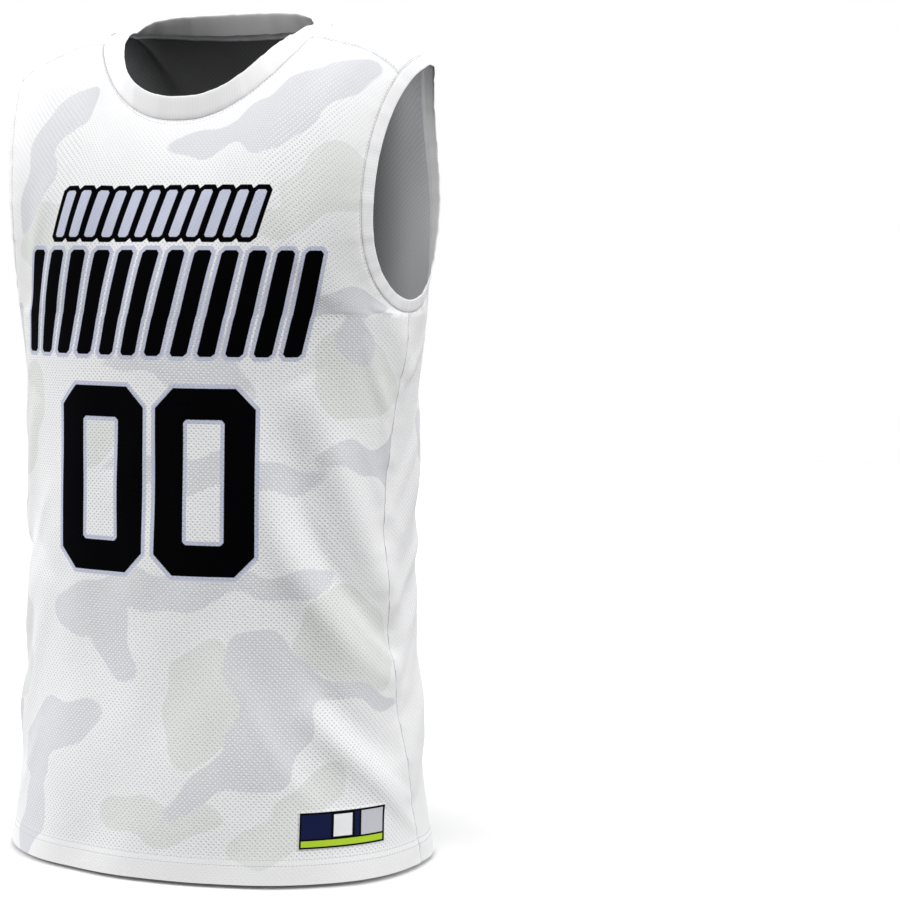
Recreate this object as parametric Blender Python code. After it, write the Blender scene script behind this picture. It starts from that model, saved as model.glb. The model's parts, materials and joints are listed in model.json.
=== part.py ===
"""A sleeveless flag football jersey in mesh knit, filled out as it is when worn, with nobody inside.

Metres, +Z up. The front faces -Y and the wearer's left is +X. The origin is on the centre line,
level with the two points where the neck seam crosses the shoulder ridge, so the jersey hangs below it.

The cloth lies on a general torso form. Up to the underarm the form is a stack of rounded sections. Above
it, at each distance X from the centre, a profile rises from the chest, over the shoulder ridge and down
the back. The front and back are grids on that form, and the bands and the label start from their points.
"""

import math

import bmesh
import bpy
import numpy as np

# Cloth
PANEL_WALL = 0.0016
HEM_TURN_UP = 0.0010  # the hem's second layer
HEM_DEPTH = 0.024
BAND_WALL = 0.0022
SEAM_GAP = 0.0003

# Body of the jersey, from the hem to the shoulders
HEM_Z = -0.794
UNDERARM_Z = -0.270
# z, half width, depth ahead of the middle of the chest, depth behind it, y of the side seam,
# squareness (2 is an ellipse)
SECTIONS = (
    (-0.794, 0.215, 0.159, 0.102, -0.012, 2.25),
    (-0.700, 0.204, 0.151, 0.103, -0.024, 2.20),
    (-0.600, 0.197, 0.139, 0.105, -0.034, 2.15),
    (-0.480, 0.193, 0.133, 0.109, -0.040, 2.15),
    (-0.360, 0.200, 0.128, 0.112, -0.030, 2.05),
    (-0.270, 0.209, 0.126, 0.115, -0.020, 2.10),
    (-0.150, 0.218, 0.126, 0.115, -0.020, 2.70),
    (-0.030, 0.215, 0.126, 0.115, -0.020, 3.20),
)
Z, HALF_WIDTH, FRONT_DEPTH, BACK_DEPTH, SEAM_Y, SQUARENESS = range(6)

# Shoulders: the ridge is highest on the centre line and falls to the tips
RIDGE_RISE = 0.018
TIP_X = 0.218
TIP_DROP = 0.036
RIDGE_POWER = 1.77
RIDGE_BACK = 0.014  # how far the ridge lies behind the middle of the chest
FRONT_DIP = 0.015  # how much lower the chest's profile aims on the centre line
FRONT_POWER = 1.8  # how square the profile is over the chest
ARMHOLE_POWER = 2.6  # and beside the armhole
BACK_POWER = 2.4  # and over the upper back
SHOULDER_SEAM_FORWARD = 0.040  # ahead of the ridge

# Neck seam, seen from above, measured from the ridge
NECK_HALF_WIDTH = 0.117
NECK_FRONT = 0.089
NECK_BACK = 0.052
NECK_SQUARENESS = 2.45  # of the front half, where 2 is an ellipse
NECK_BAND_WIDTH = 0.023
NECK_LIFT_SIDES = 0.12  # how far the band turns from the cloth's slope towards upright
NECK_LIFT_CENTRE = 0.50

# Armhole seam, seen from the side, measured from the ridge
ARMHOLE_TOP_Z = -0.031
ARMHOLE_FRONT = 0.070
ARMHOLE_BACK = 0.076
ARMHOLE_BAND_WIDTH = 0.012

# Cross-section of a band: share of its width, then where its inner and outer faces are in its wall
BAND_PROFILE = (
    (0.00, 0.0, 1.0),
    (0.35, 0.0, 1.0),
    (0.90, 0.0, 1.0),
    (1.00, 0.3, 0.7),
)

# Hem label, by its distance round the front from the centre line
LABEL_START = 0.143
LABEL_WIDTH = 0.085
LABEL_TOP_Z = -0.728
LABEL_HEIGHT = 0.034
LABEL_WALL = 0.0010

# Colours: red, green, blue, roughness
WHITE_KNIT = (0.78, 0.79, 0.81, 0.85)
NAVY_PRINT = (0.008, 0.010, 0.030, 0.6)
SMOOTH_ANGLE = math.radians(40)

# Folds, as soft ridges and troughs. Across is 0 at the centre front, 1 at the side seam and 2 at the centre
# back.
ACROSS_METRES = 0.255
LEFT, RIGHT = 1, -1
FOLD_FADE = 0.6  # how soon a fold reaches its height from its ends, less being sooner
# side, across and z where it starts, across and z where it ends, half width, height
FOLDS = (
    (LEFT, 0.88, -0.262, 1.05, -0.335, 0.013, 0.004),
    (LEFT, 0.68, -0.335, 1.05, -0.545, 0.018, 0.007),
    (LEFT, 0.64, -0.430, 1.04, -0.570, 0.018, -0.007),
    (LEFT, 0.46, -0.425, 1.05, -0.635, 0.025, 0.008),
    (LEFT, 0.55, -0.555, 1.04, -0.655, 0.018, -0.006),
    (LEFT, 0.62, -0.630, 1.05, -0.718, 0.020, 0.006),
    (LEFT, 0.70, -0.675, 1.02, -0.742, 0.018, -0.005),
    (LEFT, 1.42, -0.330, 0.96, -0.540, 0.020, 0.006),
    (LEFT, 1.50, -0.430, 0.97, -0.625, 0.025, 0.007),
    (LEFT, 1.36, -0.600, 0.96, -0.712, 0.020, 0.006),
    (LEFT, 1.40, -0.480, 0.98, -0.590, 0.018, -0.006),
    (RIGHT, 0.74, -0.350, 1.05, -0.525, 0.020, 0.006),
    (RIGHT, 0.70, -0.500, 1.04, -0.640, 0.022, 0.006),
    (RIGHT, 0.62, -0.520, 0.80, -0.700, 0.020, 0.005),
    (RIGHT, 0.78, -0.620, 1.03, -0.735, 0.020, 0.005),
    (RIGHT, 1.46, -0.320, 0.96, -0.500, 0.020, 0.007),
    (RIGHT, 1.52, -0.420, 0.96, -0.600, 0.025, 0.008),
    (RIGHT, 1.34, -0.400, 0.98, -0.560, 0.018, -0.007),
    (RIGHT, 1.40, -0.560, 0.96, -0.690, 0.020, 0.006),
    (RIGHT, 1.24, -0.640, 0.98, -0.752, 0.020, 0.005),
)

# Grid: columns run from the wearer's right side seam to the left one
COLUMNS = 40
SHOULDER_COLUMNS = 11  # of them, on each shoulder seam
BODY_ROWS = 22
FRONT_YOKE_ROWS = 16
BACK_YOKE_ROWS = 20
SECTION_STEPS = 240
SOLVER_STEPS = 36
SEARCH_START, SEARCH_END = 0.5, 2.0  # how far inside and outside a first guess the form is looked for
NORMAL_STEP = 0.0004
MIRROR = (-1, 1, 1)


def section_value(column, z):
    """One column of SECTIONS at height z, on a smooth curve through its rows."""
    heights = [row[Z] for row in SECTIONS]
    values = [row[column] for row in SECTIONS]
    slopes = np.gradient(values, heights)
    z = min(z, heights[-1])
    k = min(max(int(np.searchsorted(heights, z)) - 1, 0), len(heights) - 2)
    span = heights[k + 1] - heights[k]
    t = (z - heights[k]) / span
    start, end = values[k], values[k + 1]
    lead, trail = slopes[k] * span, slopes[k + 1] * span
    bend = 2 * (start - end) + lead + trail
    return ((bend * t - (bend + lead + start - end)) * t + lead) * t + start


def half_section(z):
    """Points of the section at z from the centre front round the +X side to the centre back."""
    turn = np.linspace(0, math.pi, SECTION_STEPS)
    power = 2 / section_value(SQUARENESS, z)
    x = section_value(HALF_WIDTH, z) * np.sin(turn) ** power
    reach = np.abs(np.cos(turn)) ** power
    depth = np.where(turn < math.pi / 2, -section_value(FRONT_DEPTH, z), section_value(BACK_DEPTH, z))
    return x, depth * reach


def section_rows(z, shares, back):
    """Points at the given shares (-1 to 1) of the way from a panel's centre line to its side seams."""
    x, y = half_section(z)
    length = np.concatenate([[0], np.cumsum(np.hypot(np.diff(x), np.diff(y)))])
    seam = np.interp(section_value(SEAM_Y, z), y, length)
    if back:
        along = length[-1] - np.abs(shares) * (length[-1] - seam)
    else:
        along = np.abs(shares) * seam
    x = np.interp(along, length, x) * np.where(shares < 0, -1, 1)
    y = np.interp(along, length, y)
    return np.stack([x, y, np.full(len(along), z)], axis=1)


def ridge_z(x):
    return RIDGE_RISE - (RIDGE_RISE + TIP_DROP) * (abs(x) / TIP_X) ** RIDGE_POWER


def yoke_level(x, y, z):
    """How far out a point above the underarm is: 1 on the form, less inside it."""
    across = abs(x) / section_value(HALF_WIDTH, z)
    if across >= 1:
        return math.inf
    back = y > 0
    squareness = section_value(SQUARENESS, z)
    depth = section_value(BACK_DEPTH if back else FRONT_DEPTH, UNDERARM_Z)
    reach = abs(y) / (depth * (1 - across**squareness) ** (1 / squareness))
    top = ridge_z(x)
    power = BACK_POWER
    if not back:
        top -= FRONT_DIP * max(1 - (x / NECK_HALF_WIDTH) ** 2, 0)
        power = FRONT_POWER + (ARMHOLE_POWER - FRONT_POWER) * (x / TIP_X) ** 2
    rise = max(z - UNDERARM_Z, 0) / (top - UNDERARM_Z)
    return (reach**power + rise**power) ** (1 / power)


def yoke_normal(point):
    """The form's normal at one of its points, from how much a small step inwards lowers the level."""
    outward = np.array([-1 if point[0] < 0 else 1, -1 if point[1] < 0 else 1, 1])
    level = yoke_level(*point)
    slopes = [level - yoke_level(*(point - step * outward)) for step in np.eye(3) * NORMAL_STEP]
    normal = outward * slopes
    return normal / np.linalg.norm(normal)


def bisect(inside, low, high):
    """The value between low and high where inside turns from true to false."""
    for _ in range(SOLVER_STEPS):
        middle = (low + high) / 2
        if inside(middle):
            low = middle
        else:
            high = middle
    return low


def yoke_z(x, y):
    """Height of the form above the plan point x, y."""
    return bisect(lambda z: yoke_level(x, y, z) < 1, UNDERARM_Z, RIDGE_RISE)


def on_yoke(point):
    """The point of the form on the line from the middle of the chest through this one."""
    middle = np.array([0, 0, UNDERARM_Z])
    scale = bisect(lambda s: yoke_level(*(middle + (point - middle) * s)) < 1, SEARCH_START, SEARCH_END)
    return middle + (point - middle) * scale


def neck_point(turn):
    """A point of the neck seam. Turn is 0 at the centre front and pi at the centre back."""
    ahead = math.cos(turn) > 0
    power = 2 / NECK_SQUARENESS if ahead else 1
    x = NECK_HALF_WIDTH * abs(math.sin(turn)) ** power
    y = (-NECK_FRONT if ahead else NECK_BACK) * abs(math.cos(turn)) ** power
    return np.array([x, y, yoke_z(x, y)])


def armhole_side_view(turn):
    """Y and z of the armhole seam. Turn is 0 on the shoulder ridge, positive down the front."""
    middle = (ARMHOLE_TOP_Z + UNDERARM_Z) / 2
    reach = ARMHOLE_FRONT if turn > 0 else ARMHOLE_BACK
    y = section_value(SEAM_Y, UNDERARM_Z) * (1 - math.cos(turn)) / 2 - reach * math.sin(turn)
    return y, middle + (ARMHOLE_TOP_Z - middle) * math.cos(turn)


def armhole_point(turn):
    """A point of the armhole seam at +X."""
    y, z = armhole_side_view(turn)
    x = bisect(lambda x: yoke_level(x, y, z) < 1, NECK_HALF_WIDTH, TIP_X * SEARCH_END)
    return np.array([x, y, z])


def panel_shares():
    """Shares of the columns, with one exactly at each neck point."""
    neck = 1 - 2 * SHOULDER_COLUMNS / COLUMNS
    shoulder = np.linspace(-1, -neck, SHOULDER_COLUMNS + 1)
    front = np.linspace(-neck, neck, COLUMNS - 2 * SHOULDER_COLUMNS + 1)
    return np.concatenate([shoulder, front[1:-1], -shoulder[::-1]])


def tip_turn():
    """The turn of the armhole seam at which it meets the shoulder seam."""
    turns = np.linspace(0, math.pi / 2, SECTION_STEPS)
    forward = [-armhole_side_view(turn)[0] for turn in turns]
    return float(np.interp(SHOULDER_SEAM_FORWARD, forward, turns))


def top_edge(back):
    """A panel's top edge, right to left: shoulder seam, neck seam, shoulder seam."""
    neck_turn = math.acos((SHOULDER_SEAM_FORWARD / NECK_FRONT) ** (NECK_SQUARENESS / 2))
    tip = armhole_point(tip_turn())
    inner_x = neck_point(neck_turn)[0]
    half = []
    for x in np.linspace(tip[0], inner_x, SHOULDER_COLUMNS + 1):
        half.append((x, -SHOULDER_SEAM_FORWARD, yoke_z(x, -SHOULDER_SEAM_FORWARD)))
    steps = COLUMNS // 2 - SHOULDER_COLUMNS
    for turn in np.linspace(neck_turn, math.pi if back else 0.0, steps + 1)[1:]:
        half.append(neck_point(turn))
    half = np.array(half)
    return np.concatenate([half * MIRROR, half[-2::-1]])


def yoke_grid(back):
    """The rows above the underarm: a patch blended from its four edges and laid on the form."""
    rows = BACK_YOKE_ROWS if back else FRONT_YOKE_ROWS
    top = top_edge(back)
    bottom = section_rows(UNDERARM_Z, panel_shares(), back)
    start = -math.pi if back else math.pi
    left = np.array([armhole_point(turn) for turn in np.linspace(start, tip_turn(), rows + 1)])
    left[0] = bottom[-1]
    left[-1] = top[-1]
    right = left * MIRROR
    across = (panel_shares() + 1) / 2
    grid = []
    for row in range(1, rows + 1):
        v = row / rows
        for column, u in enumerate(across):
            flat = (1 - v) * bottom[column] + v * top[column] + (1 - u) * right[row] + u * left[row]
            low = (1 - u) * bottom[0] + u * bottom[-1]
            high = (1 - u) * top[0] + u * top[-1]
            corners = (1 - v) * low + v * high
            edge = row == rows or column in (0, COLUMNS)
            grid.append(flat - corners if edge else on_yoke(flat - corners))
    return np.array(grid).reshape(rows, len(across), 3)


def fold_height(across, z):
    """How far the folds move the cloth out at a point. Across is negative on the wearer's right."""
    total = np.zeros_like(z)
    for side, start_across, start_z, end_across, end_z, half_width, height in FOLDS:
        run = np.array([(end_across - start_across) * ACROSS_METRES, end_z - start_z])
        length = np.hypot(*run)
        off_x = (across * side - start_across) * ACROSS_METRES
        off_z = z - start_z
        along = (off_x * run[0] + off_z * run[1]) / length**2
        apart = (off_x * run[1] - off_z * run[0]) / length
        fade = np.sin(np.clip(along, 0, 1) * math.pi) ** FOLD_FADE
        total += height * fade * np.exp(-((apart / half_width) ** 2))
    return total


def form_normals(grid):
    """Unit normals of the form at a panel's points, pointing out of the jersey."""
    normals = np.cross(np.gradient(grid, axis=1), np.gradient(grid, axis=0))
    normals /= np.linalg.norm(normals, axis=2, keepdims=True)
    for row in range(BODY_ROWS + 1, len(grid)):
        normals[row] = [yoke_normal(point) for point in grid[row]]
    return normals


def panel_grid(back):
    """A panel's inner points, hem to neck, with its folds, and the normals out of it."""
    shares = panel_shares()
    heights = np.linspace(HEM_Z, UNDERARM_Z, BODY_ROWS + 1)
    body = np.array([section_rows(z, shares, back) for z in heights])
    grid = np.concatenate([body, yoke_grid(back)])
    across = np.broadcast_to(2 * np.sign(shares) - shares if back else shares, grid.shape[:2])
    if back:
        grid, across = grid[:, ::-1], across[:, ::-1]
    normals = form_normals(grid)
    grid[:, :, 1] += RIDGE_BACK * (np.maximum(grid[:, :, 2] - UNDERARM_Z, 0) / UNDERARM_Z) ** 2
    return grid + normals * fold_height(across, grid[:, :, 2])[:, :, None], normals


def shared(first, second):
    total = first + second
    return total / np.linalg.norm(total, axis=-1, keepdims=True)


def share_seam_normals(front, back):
    """Gives the two sides of each seam one normal, so that their edges face each other squarely."""
    joined = BODY_ROWS + 1
    last = SHOULDER_COLUMNS + 1
    for here, there in ((0, -1), (-1, 0)):
        both = shared(front[:joined, here], back[:joined, there])
        front[:joined, here] = both
        back[:joined, there] = both
    for here, there in ((slice(0, last), slice(-last, None)), (slice(-last, None), slice(0, last))):
        both = shared(front[-1, here], back[-1, there][::-1])
        front[-1, here] = both
        back[-1, there] = both[::-1]


def open_seams(front, back):
    """Draws the back's edges in from the front's, by the gap at a seam."""
    joined = BODY_ROWS + 1
    last = SHOULDER_COLUMNS + 1
    for edge, inside, seam in ((0, 1, -1), (-1, -2, 0)):
        run = back[:joined, inside] - front[:joined, seam]
        run /= np.linalg.norm(run, axis=1, keepdims=True)
        back[:joined, edge] = front[:joined, seam] + run * SEAM_GAP
    for edge, seam in ((slice(0, last), slice(-last, None)), (slice(-last, None), slice(0, last))):
        start = front[-1, seam][::-1]
        run = back[-2, edge] - start
        run /= np.linalg.norm(run, axis=1, keepdims=True)
        back[-1, edge] = start + run * SEAM_GAP


def join_rows(bm, low, high):
    """Faces between two rows of vertices."""
    for column in range(len(low) - 1):
        bm.faces.new((low[column], low[column + 1], high[column + 1], high[column]))


def build_wall(name, inner, outer, colour, ring=False):
    """A closed wall between two grids of points. A ring joins its last row to its first."""
    rows = len(inner)
    bm = bmesh.new()
    near, far = [[[bm.verts.new(point) for point in row] for row in sheet] for sheet in (inner, outer)]
    for row in range(rows if ring else rows - 1):
        after = (row + 1) % rows
        for sheet in (near, far):
            join_rows(bm, sheet[row], sheet[after])
        for edge in (0, -1):
            bm.faces.new((near[row][edge], near[after][edge], far[after][edge], far[row][edge]))
    if not ring:
        for edge in (0, -1):
            join_rows(bm, near[edge], far[edge])
    bmesh.ops.recalc_face_normals(bm, faces=bm.faces)
    bmesh.ops.triangulate(bm, faces=bm.faces)
    mesh = bpy.data.meshes.new(name)
    bm.to_mesh(mesh)
    bm.free()
    mesh.shade_smooth()
    mesh.set_sharp_from_angle(angle=SMOOTH_ANGLE)
    mesh.materials.append(cloth(name, *colour))
    obj = bpy.data.objects.new(name, mesh)
    bpy.context.scene.collection.objects.link(obj)
    return obj


def cloth(name, red, green, blue, roughness):
    material = bpy.data.materials.new(name + "_cloth")
    material.use_nodes = True
    shader = material.node_tree.nodes["Principled BSDF"]
    shader.inputs["Base Color"].default_value = (red, green, blue, 1)
    shader.inputs["Roughness"].default_value = roughness
    shader.inputs["Metallic"].default_value = 0.0
    return material


def build_panel(name, grid, normals, colour):
    """A panel's wall, with the turned-up hem's second layer on its inside."""
    in_hem = grid[:, :, 2:] < HEM_Z + HEM_DEPTH
    inner = np.where(in_hem, grid - normals * HEM_TURN_UP, grid)
    return build_wall(name, inner, grid + normals * PANEL_WALL, colour)


def build_band(name, seam, normals, width, lift, colour):
    """A band standing on a closed seam line, with a rounded free edge."""
    run = np.roll(seam, -1, axis=0) - np.roll(seam, 1, axis=0)
    run /= np.linalg.norm(run, axis=1, keepdims=True)
    across = np.cross(normals, run)
    across /= np.linalg.norm(across, axis=1, keepdims=True)
    rise = across * (1 - lift) + np.array([0, 0, 1]) * lift
    rise /= np.linalg.norm(rise, axis=1, keepdims=True)
    out = np.cross(run, rise)
    out /= np.linalg.norm(out, axis=1, keepdims=True)
    inner, outer = [], []
    for share, near, far in BAND_PROFILE:
        line = seam + across * SEAM_GAP + rise * (width - SEAM_GAP) * share
        thick = normals if share == 0 else out
        inner.append(line + thick * BAND_WALL * near)
        outer.append(line + thick * BAND_WALL * far)
    return build_wall(name, np.stack(inner, axis=1), np.stack(outer, axis=1), colour, ring=True)


def neck_seam(front, back):
    """The neck seam as one ring, anticlockwise from above, with the normals at its points."""
    span = slice(SHOULDER_COLUMNS, COLUMNS - SHOULDER_COLUMNS + 1)
    ahead = [sheet[-1, span] for sheet in front]
    behind = [sheet[-1, span][1:-1] for sheet in back]
    return [np.concatenate(pair) for pair in zip(ahead, behind)]


def neck_lift(ring):
    """How far the neck band turns upright at each point of its seam: least over the shoulders."""
    y = ring[:, 1:2] - RIDGE_BACK
    centre = (y / np.where(y < 0, NECK_FRONT, NECK_BACK)) ** 2
    return NECK_LIFT_SIDES + (NECK_LIFT_CENTRE - NECK_LIFT_SIDES) * centre


def armhole_seam(front, back, side):
    """The armhole seam on one side as one ring, up the front and down the back."""
    here, there = (-1, 0) if side == LEFT else (0, -1)
    ahead = [sheet[BODY_ROWS:, here] for sheet in front]
    behind = [sheet[BODY_ROWS + 1 : -1, there][::-1] for sheet in back]
    seam, normals = [np.concatenate(pair) for pair in zip(ahead, behind)]
    return (seam[::-1], normals[::-1]) if side == LEFT else (seam, normals)


def stops(low, high):
    """The two ends and the whole numbers between them, so that the label bends where the panel does."""
    return [low] + list(range(math.ceil(low), math.floor(high) + 1)) + [high]


def between(grid, row, column):
    """A point of a grid at a fractional row and column."""
    low_row, low_column = int(row), int(column)
    up, over = row - low_row, column - low_column
    near = grid[low_row, low_column] * (1 - over) + grid[low_row, low_column + 1] * over
    far = grid[low_row + 1, low_column] * (1 - over) + grid[low_row + 1, low_column + 1] * over
    return near * (1 - up) + far * up


def cut_patch(grid, rows, columns):
    """The points of a grid at each of these rows and columns."""
    return np.array([[between(grid, row, column) for column in columns] for row in rows])


def build_label(front, normals, colour):
    """A flat label on the front's face, made from the front's points moved out."""
    rows_per_metre = BODY_ROWS / (UNDERARM_Z - HEM_Z)
    top = (LABEL_TOP_Z - HEM_Z) * rows_per_metre
    bottom = top - LABEL_HEIGHT * rows_per_metre
    line = front[int(top), COLUMNS // 2 :]
    length = np.concatenate([[0], np.cumsum(np.linalg.norm(np.diff(line, axis=0), axis=1))])
    columns = COLUMNS // 2 + np.arange(len(length))
    start = float(np.interp(LABEL_START, length, columns))
    end = float(np.interp(LABEL_START + LABEL_WIDTH, length, columns))
    area = stops(bottom, top), stops(start, end)
    face = front + normals * (PANEL_WALL + SEAM_GAP)
    inner = cut_patch(face, *area)
    outer = cut_patch(face + normals * LABEL_WALL, *area)
    return build_wall("hem_label", inner, outer, colour)


def main():
    for obj in list(bpy.data.objects):
        bpy.data.objects.remove(obj)
    front, front_out = panel_grid(back=False)
    back, back_out = panel_grid(back=True)
    share_seam_normals(front_out, back_out)
    open_seams(front, back)
    build_panel("front_panel", front, front_out, WHITE_KNIT)
    build_panel("back_panel", back, back_out, WHITE_KNIT)
    ring, out = neck_seam((front, front_out), (back, back_out))
    build_band("neck_band", ring, out, NECK_BAND_WIDTH, neck_lift(ring), WHITE_KNIT)
    for side, name in ((LEFT, "left_armhole_band"), (RIGHT, "right_armhole_band")):
        ring, out = armhole_seam((front, front_out), (back, back_out), side)
        build_band(name, ring, out, ARMHOLE_BAND_WIDTH, 0.0, WHITE_KNIT)
    build_label(front, front_out, NAVY_PRINT)


main()
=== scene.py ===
"""The looks of the sleeveless jersey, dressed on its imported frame.

Metres, +Z up, the front faces -Y and the wearer's left is +X, as in the frame. The cloth is laid on the same
torso form as the solids, on a finer grid, with its creases and seam puckers on top. Every piece of cloth
carries its own UV map in metres of flat cloth, which its knit and its prints are drawn in.
"""

import json
import math

import bmesh
import bpy
import numpy as np
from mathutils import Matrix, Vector

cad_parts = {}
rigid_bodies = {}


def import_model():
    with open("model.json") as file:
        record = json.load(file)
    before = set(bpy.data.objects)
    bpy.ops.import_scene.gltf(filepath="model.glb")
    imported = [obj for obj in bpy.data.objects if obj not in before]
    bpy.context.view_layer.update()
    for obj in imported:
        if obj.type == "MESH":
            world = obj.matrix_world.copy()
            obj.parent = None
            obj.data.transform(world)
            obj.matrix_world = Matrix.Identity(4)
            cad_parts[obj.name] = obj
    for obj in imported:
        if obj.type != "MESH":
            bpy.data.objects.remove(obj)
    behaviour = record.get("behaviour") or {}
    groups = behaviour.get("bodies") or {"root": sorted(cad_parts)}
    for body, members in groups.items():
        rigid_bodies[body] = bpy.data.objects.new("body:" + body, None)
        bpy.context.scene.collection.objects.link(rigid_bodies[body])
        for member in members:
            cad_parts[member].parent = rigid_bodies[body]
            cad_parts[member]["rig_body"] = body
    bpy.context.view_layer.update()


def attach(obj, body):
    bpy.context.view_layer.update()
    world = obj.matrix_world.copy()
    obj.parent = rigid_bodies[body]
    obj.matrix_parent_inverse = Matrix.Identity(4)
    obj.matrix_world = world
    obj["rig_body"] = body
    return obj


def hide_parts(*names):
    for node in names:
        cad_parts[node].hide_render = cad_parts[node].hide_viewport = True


BODY = "root"
LEFT, RIGHT = 1, -1

# ---------------------------------------------------------------------------------------------------------
# The form, with the sizes that the solids have

CLOTH_WALL = 0.0014
HEM_TURN_UP = 0.0010
HEM_DEPTH = 0.024
BAND_WALL = 0.0022

HEM_Z = -0.794
UNDERARM_Z = -0.270
# z, half width, depth ahead of the middle of the chest, depth behind it, y of the side seam,
# squareness (2 is an ellipse)
SECTIONS = (
    (-0.794, 0.215, 0.159, 0.102, -0.012, 2.25),
    (-0.700, 0.204, 0.151, 0.103, -0.024, 2.20),
    (-0.600, 0.197, 0.139, 0.105, -0.034, 2.15),
    (-0.480, 0.193, 0.133, 0.109, -0.040, 2.15),
    (-0.360, 0.200, 0.128, 0.112, -0.030, 2.05),
    (-0.270, 0.209, 0.126, 0.115, -0.020, 2.10),
    (-0.150, 0.218, 0.126, 0.115, -0.020, 2.70),
    (-0.030, 0.215, 0.126, 0.115, -0.020, 3.20),
)
Z, HALF_WIDTH, FRONT_DEPTH, BACK_DEPTH, SEAM_Y, SQUARENESS = range(6)

RIDGE_RISE = 0.018
TIP_X = 0.218
TIP_DROP = 0.036
RIDGE_POWER = 1.77
RIDGE_BACK = 0.014
FRONT_DIP = 0.015
FRONT_POWER = 1.8
ARMHOLE_POWER = 2.6
BACK_POWER = 2.4
SHOULDER_SEAM_FORWARD = 0.040

NECK_HALF_WIDTH = 0.117
NECK_FRONT = 0.089
NECK_BACK = 0.052
NECK_SQUARENESS = 2.45
NECK_BAND_WIDTH = 0.023
# How much the neck band leans up out of the cloth's slope: over the shoulders, at the front, at the back
NECK_LIFT_SIDES = -0.22
NECK_LIFT_FRONT = 0.80
NECK_LIFT_BACK = 0.36

ARMHOLE_TOP_Z = -0.031
ARMHOLE_FRONT = 0.070
ARMHOLE_BACK = 0.076
ARMHOLE_BAND_WIDTH = 0.012
ARMHOLE_TURN_IN = 0.35  # how much a binding leans into its opening
ARMHOLE_TURN_OUT = 0.30  # and out sideways, behind the shoulder ridge
ARMHOLE_TURN_START = 0.3  # how far ahead of the ridge that begins, in depths of the armhole's back

LABEL_START = 0.143
LABEL_WIDTH = 0.085
LABEL_TOP_Z = -0.728
LABEL_HEIGHT = 0.034
LABEL_OFF_CLOTH = 0.0003
LABEL_WALL = 0.0006
LABEL_COLUMNS = 34
LABEL_ROWS = 14

ACROSS_METRES = 0.255  # from the centre line to the side seam, which is 1 across
FOLD_FADE = 0.6
# Broad folds: side, across and z where one starts, across and z where it ends, half width, height
FOLDS = (
    (LEFT, 0.88, -0.262, 1.05, -0.335, 0.013, 0.004),
    (LEFT, 1.42, -0.330, 0.96, -0.540, 0.020, 0.006),
    (LEFT, 1.50, -0.430, 0.97, -0.625, 0.025, 0.007),
    (LEFT, 1.36, -0.600, 0.96, -0.712, 0.020, 0.006),
    (LEFT, 1.40, -0.480, 0.98, -0.590, 0.018, -0.006),
    (RIGHT, 0.74, -0.350, 1.05, -0.525, 0.020, 0.006),
    (RIGHT, 0.70, -0.500, 1.04, -0.640, 0.022, 0.006),
    (RIGHT, 0.62, -0.520, 0.80, -0.700, 0.020, 0.005),
    (RIGHT, 0.78, -0.620, 1.03, -0.735, 0.020, 0.005),
    (RIGHT, 1.46, -0.320, 0.96, -0.500, 0.020, 0.007),
    (RIGHT, 1.52, -0.420, 0.96, -0.600, 0.025, 0.008),
    (RIGHT, 1.34, -0.400, 0.98, -0.560, 0.018, -0.007),
    (RIGHT, 1.40, -0.560, 0.96, -0.690, 0.020, 0.006),
    (RIGHT, 1.24, -0.640, 0.98, -0.752, 0.020, 0.005),
)

# Grid of the cloth: columns run from the wearer's right side seam to the left one
COLUMNS = 160
SHOULDER_COLUMNS = 44
BODY_ROWS = 110
FRONT_YOKE_ROWS = 64
BACK_YOKE_ROWS = 80
SECTION_STEPS = 960
SOLVER_STEPS = 36
SEARCH_START, SEARCH_END = 0.5, 2.0
NORMAL_STEP = 0.0004
PANEL_SETTLING = 4
RING_SETTLING = 40
MIRROR = (-1, 1, 1)
SHARP_EDGE = 55  # degrees at which an edge looks sharp, as a wall's rims do and its folds don't

# ---------------------------------------------------------------------------------------------------------
# What sewing and wear add to the cloth

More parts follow.
